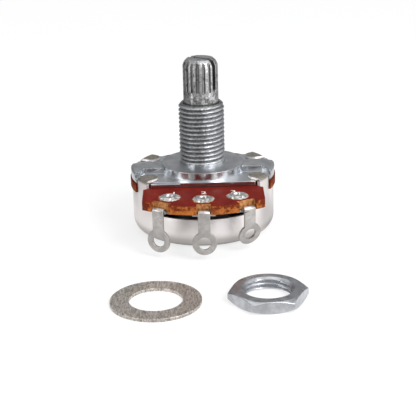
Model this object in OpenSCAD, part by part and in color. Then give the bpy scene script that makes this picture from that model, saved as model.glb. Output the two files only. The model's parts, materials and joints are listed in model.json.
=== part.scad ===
// Rotary potentiometer for panel mounting: a splined and slotted shaft in an M8 fine-thread bushing,
// a die-cast mounting plate, a laminate terminal board with three solder lugs, and a drawn steel
// rear cover whose four tabs fold over the plate. Its nut and flat washer lie in front of it.
// The origin is on the shaft's axis in the mounting face. +Z points out along the shaft, and
// the terminals point to -Y.

/* [Shaft] */
// Diameter of the shaft
shaft_d = 6; // [5.8:0.05:6.3]
// Height of the shaft's end above the mounting face
shaft_reach = 18.3; // [17:0.1:25]
// Length of the splined end
spline_len = 5.5; // [4:0.1:7]
// Number of teeth on the splined end
spline_teeth = 18; // [12:1:24]
// Depth of the grooves between the teeth
spline_depth = 0.35; // [0.2:0.05:0.45]
// Width of the slot that splits the splined end
slot_w = 0.8; // [0.5:0.1:1.2]
// Depth of the slot from the shaft's end
slot_depth = 5.2; // [3:0.2:6.6]
// Direction of the slot, from +X
slot_angle = -40; // [-180:1:180]
// Width of the taper at the shaft's end
taper_w = 0.75; // [0.3:0.05:1]
// Height of that taper
taper_h = 1.1; // [0.4:0.1:1.6]

/* [Bushing] */
// Outer diameter of the thread's crests
thread_d = 7.9; // [7.7:0.05:8.4]
// Height of the bushing above the mounting face
bushing_h = 10.7; // [7:0.1:11.2]
// Width of the chamfer at the bushing's end
bushing_chamfer = 0.5; // [0.2:0.1:0.6]
// Radial play of the shaft in the bushing
shaft_play = 0.05; // [0.02:0.01:0.09]

/* [Mounting plate] */
// Diameter of the round boss that meets the panel
boss_d = 14.2; // [12.4:0.2:15]
// Height of the boss above the floor of the tab pockets
boss_h = 1.35; // [1.2:0.05:2]
// Thickness of the plate under the tab pockets
slab_t = 0.8; // [0.7:0.05:1.4]
// Size of the plate from front to back
plate_depth = 15.6; // [15.2:0.1:17]
// Height of the side lands above the floor of the tab pockets
land_h = 1; // [0.6:0.05:1.15]
// Distance of the side lands' front edge from the shaft's axis
land_front = 2.3; // [1.8:0.1:2.7]
// Distance of the side lands' rear edge from the shaft's axis
land_rear = 1.7; // [1.4:0.1:2.7]
// How far the lands widen to the front, beside the tabs
land_flare = 3.2; // [1:0.1:3.4]
// How far their rear edge runs forward to the rim
land_taper = 1.6; // [0.2:0.1:2]
// Chamfer along the lands' outer edge
rim_chamfer = 0.3; // [0.1:0.05:0.5]
// Depth of the round recess under the plate, for the shaft's retaining ring
recess_depth = 1; // [0.95:0.05:1.15]

/* [Terminal board] */
// Thickness of the board
board_t = 1.55; // [1.2:0.05:2]
// How far the board stands out past the rear cover's wall
board_overhang = 0.3; // [0.1:0.1:0.8]
// Width of the tongue that carries the terminals
tongue_w = 20.2; // [19:0.2:21.4]
// Width of the notch that the middle lug passes through
lug_notch_w = 2.35; // [2.2:0.05:2.6]
// How much wider the outer notches are, towards the middle
notch_spare = 0.75; // [0:0.05:0.9]
// Depth of that notch from the tongue's round front edge
lug_notch_depth = 1.25; // [1.15:0.05:1.6]

/* [Terminals] */
// Angle between two terminals, seen from the shaft's axis
terminal_angle = 26; // [23:1:30]
// Distance of the eyelets outside the rear cover's wall
eyelet_offset = 1.55; // [1.4:0.05:2]
// Distance from the eyelets to the tongue's front edge
tongue_margin = 3.5; // [3.2:0.1:4.5]
// Offset of the outer eyelets from the middle of their lugs, towards the middle terminal
eyelet_in = 0.55; // [0.2:0.05:0.7]
// Width of the strip round the eyelet, whose end shows under the notch
strip_w = 3.8; // [3.2:0.1:4.4]
// Thickness of the lug's sheet metal
lug_t = 0.4; // [0.3:0.05:0.45]
// Width of the lug's stem
lug_w = 2; // [1.5:0.1:2.1]
// Drop from the lug's bend to the middle of its wire hole
lug_drop = 5; // [4.2:0.05:5.9]
// Diameter of the lug's round end
lug_end_d = 4.05; // [3.5:0.05:4.4]
// Diameter of the wire hole
wire_hole_d = 2.1; // [1.2:0.1:2.4]
// Inward lean of the third lug
lug_lean = 18; // [0:1:20]
// Sideways lean of the third lug
lug_splay = 9; // [0:1:14]
// Diameter of the eyelets' flared heads
eyelet_head_d = 3.6; // [2.8:0.1:3.8]
// Outer diameter of the eyelets' barrels
eyelet_d = 1.8; // [1.5:0.1:2]

/* [Rear cover] */
// Outer diameter of the rear cover
cover_d = 24.7; // [24.2:0.1:26]
// Depth of the rear cover under the board
cover_h = 8; // [6:0.1:12]
// Thickness of the cover's sheet metal
cover_t = 0.5; // [0.4:0.05:0.6]
// Outer radius of the rounded foot
foot_r = 2.3; // [1:0.1:3]
// Width of the folded tabs
tab_w = 3; // [2.4:0.1:3.2]
// Angle of the tabs' middles from the X axis
tab_angle = 32; // [30:0.5:33]
// Length of a folded tab, from the cover's wall to its round tip
tab_len = 3; // [2.4:0.05:3.2]
// Height of the window in the rim, behind the terminals
window_h = 2.7; // [1.6:0.05:2.9]
// Half of the window's angle
window_angle = 35.5; // [33:0.5:42]

/* [Rotor and track] */
// Turn of the shaft from stop to stop
travel = 300; // [270:5:310]
// Thickness of the rotor disc
rotor_t = 1.5; // [1:0.1:2]
// Space between the board and the rotor disc
rotor_gap = 1.8; // [1.5:0.1:2.4]
// Diameter of the rotor's hub
hub_d = 8.6; // [7.6:0.2:9]
// Width of the collector ring
collector_w = 1.6; // [1.2:0.1:1.8]
// Space between the collector ring and the carbon track
track_space = 0.9; // [0.7:0.1:1.1]
// Width of the carbon track
track_w = 2; // [1.6:0.1:2.2]
// Width of the rotor disc outside the track
rotor_rim = 0.2; // [0.1:0.05:0.4]
// Space between the rotor disc and the stop that is pressed into the cover's wall
stop_play = 0.4; // [0.3:0.05:0.6]
// Width of that stop
stop_w = 3; // [2:0.2:4]

/* [Nut and washer] */
// Width of the nut across its flats
nut_af = 10.8; // [10:0.2:12]
// Height of the nut
nut_h = 2; // [1.6:0.1:3]
// Turn of the nut on the surface
nut_turn = 6; // [0:1:59]
// Diameter of the flat washer
washer_d = 14; // [12.4:0.2:15]
// Thickness of the flat washer
washer_t = 0.5; // [0.4:0.1:1]
// Place of the washer's middle to the left of the shaft's axis
washer_left = 7.6; // [7:0.2:12]
// Place of the nut's middle to the right of the shaft's axis
nut_right = 9.4; // [8:0.2:14]
// Distance of both from the shaft's axis, to the front
hardware_front = 33; // [26:1:45]

/* [Hidden] */
$fn = 96;

// Overrun of a cutting shape past the face it cuts
over = 1;
// Radii of the main round pieces
shaft_r = shaft_d / 2;
cover_r = cover_d / 2;
boss_r = boss_d / 2;
board_r = cover_r + board_overhang;
plate_inset = 0.15;
plate_r = board_r - plate_inset;

// Heights of the stacked pieces, from the mounting face down
pocket_z = -boss_h;
plate_z = pocket_z - slab_t;
board_z = plate_z - board_t;
floor_z = board_z - cover_h;
land_z = pocket_z + land_h;
rotor_z = board_z - rotor_gap;
rotor_foot_z = rotor_z - rotor_t;

// Retaining ring, thrust washer and the recess that holds them
recess_z = plate_z + recess_depth;
thrust_r = shaft_r + 1.7;
thrust_t = 0.3;
recess_r = thrust_r + 0.4;
ring_t = 0.5;
ring_play = 0.05;
groove_top = recess_z - thrust_t - ring_play;
groove_z = groove_top - ring_t - ring_play;
groove_r = shaft_r - 0.6;
ring_r = shaft_r + 1.35;
ring_gap = shaft_r * 1.3;

// Shaft's lower end, which is flattened, holds the rotor and is staked under it
hub_top = groove_z - 0.5;
tail_r = shaft_r - 0.7;
tail_flat = shaft_r - 1.2;
stake_r = tail_r + 0.45;
stake_h = 0.4;
shaft_foot = rotor_foot_z - stake_h;
hub_r = hub_d / 2;

// Place of the bend in the rounded taper at the shaft's end, as a share of its width and height
taper_bend = 0.4;
// Spacing of the teeth, and the groove's width at its floor and past its mouth as shares of it
spline_pitch = PI * shaft_d / spline_teeth;
groove_floor = 0.28;
groove_mouth = 0.92;

// Bushing's radius and the mouth of its bore
thread_r = thread_d / 2;
mouth = 0.25;
bore_r = shaft_r + shaft_play;

// Tabs of the cover and the notches that they pass through
tab_angles = [tab_angle, 180 - tab_angle, 180 + tab_angle, -tab_angle];
tab_bend = 0.25;
tab_play = 0.2;
notch_play = 0.05;
notch_r = cover_r - cover_t - tab_bend - notch_play;
tab_tip_r = cover_r - tab_len;

// Side lands of the plate and the rebate in its front edge
land_turn_x = 10.2;
land_flare_run = 1.8;
rebate_end = 3.9;
rebate_w = 0.6;
rebate_depth = 0.2;

// Direction of a terminal; side is -1 for the first, 0 for the middle one and 1 for the third
function terminal_dir(side) = -90 + side * terminal_angle;

// Terminals: the eyelet circle and the bend in the notch
eyelet_r = cover_r + eyelet_offset;
tongue_r = eyelet_r + tongue_margin;
lug_notch_r = tongue_r - lug_notch_depth;
bend_in = 0.15;
bend_out = bend_in + lug_t;
lug_play = 0.08;
bend_x = lug_notch_r + lug_play + bend_out;
bend_rise = 0.05;
bend_z = board_z + bend_rise;
strip_in = 1.3;
shoulder_in = 0.4;

// Printed and sheet pieces under the board
film_t = 0.05;
collector_t = 0.2;
hub_play = 0.5;
board_hole_r = hub_r + hub_play;
collector_inset = 0.5;
collector_in = board_hole_r + collector_inset;
collector_out = collector_in + collector_w;
collector_r = (collector_in + collector_out) / 2;
track_in = collector_out + track_space;
track_out = track_in + track_w;
track_r = (track_in + track_out) / 2;
rotor_r = track_out + rotor_rim;
collector_tail_w = 2.4;
track_gap = 360 - travel;
track_end = 10;
track_tail_w = 2;

// Eyelets
eyelet_wall = 0.3;
eyelet_bore_r = eyelet_d / 2 - eyelet_wall;
eyelet_rise = 0.35;
eyelet_clinch_r = eyelet_d / 2 + 0.4;
eyelet_clinch_h = 0.35;
eyelet_crown_w = 0.1;
eyelet_slits = 6;
eyelet_slit_w = 0.16;
eyelet_slit_in = 0.15;
eyelet_slit_rise = 0.05;

// Rotor's stop lug and the stop in the cover's wall
stop_tip_r = rotor_r + stop_play;
stop_lug_play = 0.45;
stop_lug_r = cover_r - cover_t - stop_lug_play;
stop_half = asin(stop_w / 2 / stop_tip_r);
stop_spare = 0.5;
stop_lug_half = track_gap / 2 - stop_half - stop_spare;
stop_over = 0.3;

// Wiper
wiper_t = 0.2;
wiper_play_in = 0.1;
wiper_in = hub_r + wiper_play_in;
wiper_ring_w = 0.9;
wiper_pad_rim = 0.6;
wiper_pad_out = track_r + wiper_pad_rim;
wiper_pad_dir = 118;
wiper_pad_half = 14;
wiper_arm_w = 0.8;
wiper_run = 3.4;
wiper_root = 0.6;
wiper_play = 0.05;
wiper_ball_r = 0.3;
peg_r = 0.4;
peg_play = 0.05;
peg_rise = 0.25;
peg_circle_r = track_r - 1;

// Nut and washer
thread_depth = 0.35;
nut_hole_r = thread_r - thread_depth;
nut_corner_r = nut_af / 2 / cos(30);
nut_chamfer_w = 0.15;
nut_face_r = nut_af / 2 - nut_chamfer_w;
nut_chamfer = (nut_corner_r - nut_face_r) * tan(30);
nut_mouth = 0.3;
washer_play = 0.15;
washer_hole_r = thread_r + washer_play;

// Triangle from the origin that spans -half to +half degrees about +X, up to x = reach
module wedge(half, reach) {
    polygon([[0, 0], [reach, -reach * tan(half)], [reach, reach * tan(half)]]);
}

// Flat ring between two radii and two heights
module ring(r_out, r_in, z0, z1) {
    translate([0, 0, z0]) difference() {
        cylinder(r = r_out, h = z1 - z0);
        translate([0, 0, -over]) cylinder(r = r_in, h = z1 - z0 + 2 * over);
    }
}

// Section of a round body from the axis to radius r, with its lower corner rounded
module footed_section(r, z0, z1, round) {
    translate([0, z0]) square([r - round, z1 - z0]);
    translate([0, z0 + round]) square([r, z1 - z0 - round]);
    translate([r - round, z0 + round]) circle(round);
}

// Turned shaft with its retaining groove and staked tail, before the spline and slot are cut
module shaft_blank() {
    rotate_extrude() {
        polygon([[0, groove_top], [shaft_r, groove_top], [shaft_r, shaft_reach - taper_h],
            [shaft_r - taper_bend * taper_w, shaft_reach - taper_bend * taper_h],
            [shaft_r - taper_w, shaft_reach], [0, shaft_reach]]);
        translate([0, groove_z - over / 2]) square([groove_r, groove_top - groove_z + over]);
        translate([0, hub_top]) square([shaft_r, groove_z - hub_top]);
        translate([0, shaft_foot]) square([stake_r, stake_h]);
    }
    intersection() {
        translate([0, 0, rotor_foot_z - stake_h / 2])
            cylinder(r = tail_r, h = hub_top - rotor_foot_z + stake_h);
        translate([-tail_r, -tail_flat, rotor_foot_z - over])
            cube([2 * tail_r, 2 * tail_flat, hub_top - rotor_foot_z + 2 * over]);
    }
}

// One tapered groove between two teeth, along +X
module spline_groove() {
    floor_w = spline_pitch * groove_floor / 2;
    mouth_w = spline_pitch * groove_mouth / 2;
    linear_extrude(spline_len + over)
        polygon([[shaft_r - spline_depth, -floor_w], [shaft_r + spline_depth, -mouth_w],
            [shaft_r + spline_depth, mouth_w], [shaft_r - spline_depth, floor_w]]);
}

module shaft() {
    color("darkgray") difference() {
        shaft_blank();
        translate([0, 0, shaft_reach - spline_len]) rotate(slot_angle)
            for (i = [0:spline_teeth - 1]) rotate(i * 360 / spline_teeth) spline_groove();
        rotate(slot_angle) translate([-shaft_d, -slot_w / 2, shaft_reach - slot_depth])
            cube([2 * shaft_d, slot_w, slot_depth + over]);
    }
}

// Open ring that snaps into the shaft's groove
module retaining_ring() {
    color("dimgray") difference() {
        ring(ring_r, groove_r + ring_play, groove_z, groove_z + ring_t);
        translate([0, -ring_gap / 2, groove_z - over]) cube([2 * ring_r, ring_gap, ring_t + 2 * over]);
    }
}

module thrust_washer() {
    color("goldenrod") ring(thrust_r, bore_r, recess_z - thrust_t, recess_z);
}

// Plan of a folded tab and the strip it folds from, along +X
module tab_plan() {
    translate([tab_tip_r + tab_w / 2, 0]) circle(tab_w / 2);
    translate([tab_tip_r + tab_w / 2, -tab_w / 2]) square([tab_len + over, tab_w]);
}

// Notch that a tab's strip passes through, along +X
module tab_notch(open) {
    w = tab_w / 2 + tab_play;
    translate([notch_r, -w]) square([cover_t + tab_bend + 2 * over, w + max(w, open)]);
}

// Outline of the two side lands, which widen to the front beside the tabs
module side_lands() {
    for (side = [0, 1]) mirror([side, 0])
        polygon([[0, -land_front], [land_turn_x, -land_front],
            [land_turn_x + land_flare_run, -land_front - land_flare],
            [plate_r + over, -land_front - land_flare],
            [plate_r + over, land_rear - land_taper], [land_turn_x, land_rear], [0, land_rear]]);
}

// Disc that holds the whole plate, with the chamfer along the lands' outer edge
module rim_blank() {
    translate([0, 0, plate_z]) cylinder(r = plate_r, h = land_z - rim_chamfer - plate_z);
    translate([0, 0, land_z - rim_chamfer])
        cylinder(r1 = plate_r, r2 = plate_r - rim_chamfer, h = rim_chamfer);
}

// Plate's outline inside its rim: flat front and back edges and a notch for each tab
module plate_outline() {
    difference() {
        square([2 * board_r, plate_depth], center = true);
        for (side = [0, 1], end = [0, 1]) mirror([side, 0]) mirror([0, end])
            rotate(tab_angle) tab_notch(plate_depth / 2);
    }
}

// Bushing's outside, turned: the thread's crests and the end chamfer
module bushing_blank() {
    rotate_extrude() polygon([[0, plate_z], [thread_r, plate_z], [thread_r, bushing_h - bushing_chamfer],
        [thread_r - bushing_chamfer, bushing_h], [0, bushing_h]]);
}

module mounting_plate() {
    color("slategray") difference() {
        union() {
            difference() {
                intersection() {
                    rim_blank();
                    translate([0, 0, plate_z - over]) linear_extrude(land_z - plate_z + 2 * over)
                        plate_outline();
                }
                translate([0, 0, pocket_z]) linear_extrude(boss_h + over) difference() {
                    circle(plate_r + over);
                    side_lands();
                }
            }
            translate([0, 0, plate_z]) cylinder(r = boss_r, h = -plate_z);
            bushing_blank();
        }
        translate([0, 0, plate_z - over]) cylinder(r = bore_r, h = bushing_h - plate_z + 2 * over);
        translate([0, 0, bushing_h - mouth]) cylinder(r1 = bore_r, r2 = bore_r + 2 * mouth, h = 2 * mouth);
        translate([0, 0, plate_z - over]) cylinder(r = recess_r, h = recess_depth + over);
        translate([-plate_r, -plate_depth / 2 - over, pocket_z - rebate_depth])
            cube([plate_r - rebate_end, rebate_w + over, rebate_depth + over]);
    }
}

// Notch for a lug along +X; the outer ones are wider on the side of the middle terminal
module lug_notch(side) {
    w = lug_notch_w / 2;
    translate([lug_notch_r, -w - (side > 0 ? notch_spare : 0)])
        square([lug_notch_depth + over, 2 * w + abs(side) * notch_spare]);
}

// Board's outline: a disc, the tongue with its round front edge, and all the notches
module board_outline() {
    difference() {
        union() {
            circle(board_r);
            intersection() {
                circle(tongue_r);
                translate([-tongue_w / 2, -tongue_r - over]) square([tongue_w, tongue_r + over]);
            }
        }
        for (a = tab_angles) rotate(a) tab_notch(0);
        for (side = [-1:1]) rotate(terminal_dir(side)) lug_notch(side);
    }
}

module terminal_board() {
    color("saddlebrown") difference() {
        translate([0, 0, board_z]) linear_extrude(board_t) board_outline();
        translate([0, 0, board_z - over]) cylinder(r = board_hole_r, h = board_t + 2 * over);
        for (side = [-1:1]) rotate(terminal_dir(side))
            translate([eyelet_r, -side * eyelet_in, board_z - over])
                cylinder(r = eyelet_d / 2, h = board_t + 2 * over);
    }
}

// Printed resistance track, open at the front
module carbon_track() {
    color("black") translate([0, 0, board_z - film_t]) linear_extrude(film_t) difference() {
        circle(track_out);
        circle(track_in);
        rotate(-90) wedge(track_gap / 2, 2 * cover_r);
    }
}

// Printed silver end of the track and its lead to an eyelet; side is -1 for the first, 1 for the third
module track_end(side) {
    color("silver") translate([0, 0, board_z - film_t]) linear_extrude(film_t) difference() {
        union() {
            intersection() {
                difference() {
                    circle(track_out);
                    circle(track_in);
                }
                rotate(-90 + side * (track_gap - track_end) / 2) wedge(track_end / 2, 2 * cover_r);
            }
            rotate(terminal_dir(side)) translate([track_r, -side * eyelet_in - track_tail_w / 2])
                square([eyelet_r - track_r + strip_in, track_tail_w]);
        }
        rotate(terminal_dir(side)) translate([eyelet_r, -side * eyelet_in]) circle(eyelet_d / 2);
        rotate(-90) mirror([0, side > 0 ? 1 : 0]) rotate(-track_gap / 2) translate([0, -2 * cover_r])
            square([2 * cover_r, 2 * cover_r]);
    }
}

module track_end_1() { track_end(-1); }
module track_end_3() { track_end(1); }

// Sheet ring that the inner wiper arm rides on, with its lead to the second eyelet
module collector_ring() {
    color("gold") translate([0, 0, board_z - collector_t]) linear_extrude(collector_t) difference() {
        union() {
            circle(collector_out);
            rotate(-90) translate([collector_r, -collector_tail_w / 2])
                square([eyelet_r - collector_r + strip_in, collector_tail_w]);
        }
        circle(collector_in);
        rotate(-90) translate([eyelet_r, 0]) circle(eyelet_d / 2);
    }
}

// Hanging part of a lug, down from the bend's middle, with its round end and wire hole
module lug_blade() {
    difference() {
        union() {
            translate([bend_in, -lug_w / 2, -lug_drop]) cube([lug_t, lug_w, lug_drop]);
            translate([bend_in, 0, -lug_drop]) rotate([0, 90, 0]) cylinder(d = lug_end_d, h = lug_t);
        }
        translate([bend_in - over, 0, -lug_drop]) rotate([0, 90, 0])
            cylinder(d = wire_hole_d, h = lug_t + 2 * over);
    }
}

// Solder terminal along +X: riveted strip under the board, bend up through the notch, hanging lug
module terminal(side, seat, lean, splay) {
    top = board_z - seat;
    difference() {
        union() {
            translate([eyelet_r - strip_in, -strip_w / 2, top - lug_t])
                cube([bend_x - bend_in - shoulder_in - eyelet_r + strip_in, strip_w, lug_t]);
            translate([eyelet_r, -lug_w / 2, top - lug_t]) cube([bend_x - bend_in - eyelet_r, lug_w, lug_t]);
            translate([bend_x - bend_out, -lug_w / 2, top - lug_t])
                cube([lug_t, lug_w, bend_z - top + lug_t]);
            translate([bend_x, lug_w / 2, bend_z]) rotate([90, 0, 0]) linear_extrude(lug_w) intersection() {
                difference() {
                    circle(bend_out);
                    circle(bend_in);
                }
                union() {
                    translate([-over, 0]) square([2 * over, over]);
                    rotate(-lean) square([over, over]);
                }
            }
            translate([bend_x, 0, bend_z]) rotate([splay, 0, 0]) rotate([0, lean, 0]) lug_blade();
        }
        translate([eyelet_r, -side * eyelet_in, top - lug_t - over])
            cylinder(r = eyelet_d / 2, h = lug_t + 2 * over);
    }
}

module terminal_1() { color("lightgray") rotate(terminal_dir(-1)) terminal(-1, film_t, 0, 0); }
module terminal_2() { color("lightgray") rotate(terminal_dir(0)) terminal(0, collector_t, 0, 0); }
module terminal_3() { color("lightgray") rotate(terminal_dir(1)) terminal(1, film_t, lug_lean, lug_splay); }

// Hollow eyelet along +X, flared and slit on the board and clinched under the strip
module eyelet(side, seat) {
    foot = board_z - seat - lug_t;
    r = eyelet_d / 2;
    head = eyelet_head_d / 2;
    translate([eyelet_r, -side * eyelet_in, 0]) difference() {
        rotate_extrude() polygon([[eyelet_bore_r, foot - eyelet_clinch_h],
            [eyelet_clinch_r, foot - eyelet_clinch_h / 2], [eyelet_clinch_r, foot], [r, foot], [r, plate_z],
            [head, plate_z], [head, plate_z + eyelet_rise / 4], [r + eyelet_crown_w, plate_z + eyelet_rise],
            [eyelet_bore_r, plate_z + eyelet_rise]]);
        for (i = [0:eyelet_slits - 1]) rotate((i + 0.5) * 360 / eyelet_slits)
            translate([r + eyelet_slit_in, -eyelet_slit_w / 2, plate_z + eyelet_slit_rise])
                cube([head, eyelet_slit_w, over]);
    }
}

module eyelet_1() { color("white") rotate(terminal_dir(-1)) eyelet(-1, film_t); }
module eyelet_2() { color("white") rotate(terminal_dir(0)) eyelet(0, collector_t); }
module eyelet_3() { color("white") rotate(terminal_dir(1)) eyelet(1, film_t); }

// Section of the cover: cup wall, rounded foot and, above the rim, the wall bent in over the plate
module cover_section() {
    bend_mid_z = pocket_z - tab_bend;
    difference() {
        union() {
            footed_section(cover_r, floor_z, bend_mid_z, foot_r);
            translate([cover_r - cover_t - tab_bend, bend_mid_z]) circle(cover_t + tab_bend);
            translate([0, pocket_z]) square([cover_r - cover_t - tab_bend, cover_t]);
        }
        footed_section(cover_r - cover_t, floor_z + cover_t, bend_mid_z, foot_r - cover_t);
        translate([cover_r - cover_t - tab_bend, bend_mid_z]) circle(tab_bend);
        translate([-over, bend_mid_z - over]) square([cover_r - cover_t - tab_bend + over, tab_bend + over]);
    }
}

module rear_cover() {
    stop_z = rotor_foot_z - stop_over;
    stop_h = rotor_t + 2 * stop_over;
    color("gainsboro") difference() {
        union() {
            rotate_extrude() cover_section();
            intersection() {
                translate([-stop_w / 2, stop_tip_r, stop_z])
                    cube([stop_w, cover_r - stop_tip_r, stop_h]);
                translate([0, 0, stop_z]) cylinder(r = cover_r - cover_t / 2, h = stop_h);
            }
        }
        translate([0, 0, board_z]) linear_extrude(-board_z + over) difference() {
            circle(cover_r + over);
            for (a = tab_angles) rotate(a) tab_plan();
        }
        translate([0, 0, board_z - window_h]) linear_extrude(window_h + over) rotate(-90)
            wedge(window_angle, cover_r + over);
        translate([-stop_w / 2 + cover_t, stop_tip_r + cover_t, stop_z + cover_t])
            cube([stop_w - 2 * cover_t, cover_r, stop_h - 2 * cover_t]);
    }
}

// Moulded disc and hub that turn with the shaft, with a stop lug at the front and two pegs
module rotor() {
    color("black") difference() {
        union() {
            translate([0, 0, rotor_foot_z]) cylinder(r = rotor_r, h = rotor_t);
            translate([0, 0, rotor_foot_z]) cylinder(r = hub_r, h = hub_top - rotor_foot_z);
            translate([0, 0, rotor_foot_z]) linear_extrude(rotor_t) intersection() {
                circle(stop_lug_r);
                rotate(-90) wedge(stop_lug_half, 2 * cover_r);
            }
            wiper_pegs(peg_r, peg_rise + wiper_t);
        }
        translate([0, 0, rotor_foot_z - over]) linear_extrude(hub_top - rotor_foot_z + 2 * over)
            intersection() {
                circle(tail_r);
                square([2 * tail_r, 2 * tail_flat], center = true);
            }
    }
}

module wiper_pegs(r, h) {
    for (side = [-1, 1]) rotate(wiper_pad_dir + side * wiper_pad_half / 2)
        translate([peg_circle_r, 0, rotor_z - over / 2]) cylinder(r = r, h = h + over / 2);
}

// One spring arm of the wiper, from the pad up to its contact at radius r; top is the face it rides on
module wiper_arm(r, top) {
    foot = rotor_z;
    rise = top - wiper_play - wiper_ball_r - foot;
    translate([0, r + wiper_arm_w / 2, 0]) rotate([90, 0, 0]) linear_extrude(wiper_arm_w)
        polygon([[-wiper_run - wiper_root, foot], [-wiper_run, foot], [0, foot + rise - wiper_t],
            [wiper_ball_r, foot + rise - wiper_t], [wiper_ball_r, foot + rise], [-wiper_t / 2, foot + rise],
            [-wiper_run - wiper_t / 2, foot + wiper_t], [-wiper_run - wiper_root, foot + wiper_t]]);
    translate([0, r, foot + rise]) sphere(wiper_ball_r);
}

module wiper() {
    color("darkgoldenrod") difference() {
        union() {
            ring(wiper_in + wiper_ring_w, wiper_in, rotor_z, rotor_z + wiper_t);
            translate([0, 0, rotor_z]) linear_extrude(wiper_t) difference() {
                intersection() {
                    circle(wiper_pad_out);
                    rotate(wiper_pad_dir) wedge(wiper_pad_half, 2 * cover_r);
                }
                circle(wiper_in);
            }
            wiper_arm(track_r, board_z - film_t);
            wiper_arm(collector_r, board_z - collector_t);
        }
        wiper_pegs(peg_r + peg_play, over);
    }
}

module mounting_nut() {
    color("lightsteelblue") translate([nut_right, -hardware_front, floor_z]) rotate(nut_turn) difference() {
        intersection() {
            cylinder(r = nut_corner_r, h = nut_h, $fn = 6);
            rotate_extrude() polygon([[0, 0], [nut_face_r, 0], [nut_corner_r, nut_chamfer],
                [nut_corner_r, nut_h - nut_chamfer], [nut_face_r, nut_h], [0, nut_h]]);
        }
        translate([0, 0, -over]) cylinder(r = nut_hole_r, h = nut_h + 2 * over);
        translate([0, 0, nut_h - nut_mouth]) cylinder(r1 = nut_hole_r, r2 = nut_hole_r + 2 * nut_mouth,
            h = 2 * nut_mouth);
        translate([0, 0, -nut_mouth]) cylinder(r1 = nut_hole_r + 2 * nut_mouth, r2 = nut_hole_r,
            h = 2 * nut_mouth);
    }
}

module flat_washer() {
    color("rosybrown") translate([-washer_left, -hardware_front, 0])
        ring(washer_d / 2, washer_hole_r, floor_z, floor_z + washer_t);
}

shaft();
retaining_ring();
rotor();
wiper();
mounting_plate();
thrust_washer();
terminal_board();
carbon_track();
track_end_1();
track_end_3();
collector_ring();
terminal_1();
terminal_2();
terminal_3();
eyelet_1();
eyelet_2();
eyelet_3();
rear_cover();
mounting_nut();
flat_washer();
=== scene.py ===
"""Dresses the rotary potentiometer: screw threads, flared eyelets, printed numbers and every finish.

It stands on its cover, shaft up, with the terminals towards -Y and the nut and washer in front.
Shapes are in metres, and MM turns a size in millimetres into metres. Finishes work in millimetres."""

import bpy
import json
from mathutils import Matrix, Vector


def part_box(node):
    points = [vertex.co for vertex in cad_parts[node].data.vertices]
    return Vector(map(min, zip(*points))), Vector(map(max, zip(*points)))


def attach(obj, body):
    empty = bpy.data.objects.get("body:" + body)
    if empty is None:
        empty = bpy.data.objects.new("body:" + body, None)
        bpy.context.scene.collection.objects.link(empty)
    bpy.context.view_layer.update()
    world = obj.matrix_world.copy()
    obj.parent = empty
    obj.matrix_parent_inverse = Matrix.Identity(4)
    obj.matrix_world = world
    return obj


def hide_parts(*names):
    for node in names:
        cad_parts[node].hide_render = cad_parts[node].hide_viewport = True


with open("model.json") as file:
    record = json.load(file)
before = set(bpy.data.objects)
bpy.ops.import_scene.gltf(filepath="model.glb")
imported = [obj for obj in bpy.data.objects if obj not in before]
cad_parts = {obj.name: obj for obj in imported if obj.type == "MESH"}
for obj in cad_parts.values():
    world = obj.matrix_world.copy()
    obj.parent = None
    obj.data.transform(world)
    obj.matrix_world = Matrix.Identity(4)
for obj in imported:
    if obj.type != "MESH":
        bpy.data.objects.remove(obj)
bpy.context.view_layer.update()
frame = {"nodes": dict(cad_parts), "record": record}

import json
import math

import bpy
import numpy as np
from mathutils import Matrix, Vector

MM = 0.001
mounts = {mount["name"]: mount for mount in frame["record"]["mounts"]}


def mount_size(name, size):
    """One of a mount's sizes, in metres."""
    return mounts[name]["dims"][size] * MM


# Heights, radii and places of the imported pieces
FLOOR_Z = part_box("rear_cover")[0][2]
TAB_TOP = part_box("rear_cover")[1][2]
BOARD_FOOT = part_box("terminal_board")[0][2]
BOARD_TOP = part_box("terminal_board")[1][2]
BUSHING_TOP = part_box("mounting_plate")[1][2]
SHAFT_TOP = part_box("shaft")[1][2]
SHAFT_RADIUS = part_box("shaft")[1][0]
WIRE_HOLE_Z = mounts["wire_hole_1"]["pos_m"][2]
NUT_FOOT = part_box("mounting_nut")[0][2]
NUT_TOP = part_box("mounting_nut")[1][2]
NUT_CENTRE = mounts["nut_thread"]["pos_m"][:2]

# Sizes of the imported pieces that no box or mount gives
SPLINE_LENGTH = 5.5 * MM
POCKET_DEPTH = 1.35 * MM  # depth of the tab pockets' floors below the mounting face
TONGUE_HALF = 10.1 * MM  # half the width of the board's tongue
NOTCH_RADIUS = 16.15 * MM  # distance of the lug notches' inner ends from the shaft's axis

# Thread M8 x 0.75 of the bushing and the nut
BUSHING_CREST = mount_size("bushing", "r_mm")
NUT_CREST = mount_size("nut_thread", "r_mm")
THREAD_PITCH = 0.75 * MM
THREAD_DEPTH = 0.42 * MM
CREST_SHARE = 0.12  # share of half a pitch that the flat crest takes
FLANK_SHARE = 0.80  # share of half a pitch that a flank takes
FLANK_POWER = 1.1  # power that rounds the flank's upper end
FRONT_GROOVE = 9.2 * MM  # height of a groove's middle at the bushing's front
THREAD_START = (0.35 * MM, 0.95 * MM)  # heights between which the bushing's grooves deepen
CREST_WEAR = 0.07 * MM  # greatest wear of the bushing's crests
WEAR_SEED = 7
WEAR_SPAN = (0.3, 0.7)  # averaged random values over which the wear grows from none to full

# Chamfers at the threads' ends
BUSHING_CHAMFER = BUSHING_TOP - mount_size("bushing", "length_mm")
NUT_MOUTH = (NUT_TOP - NUT_FOOT - mount_size("nut_thread", "length_mm")) / 2
MOUTH_SLOPE = 1.4  # how much a mouth of the nut widens for its depth

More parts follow.
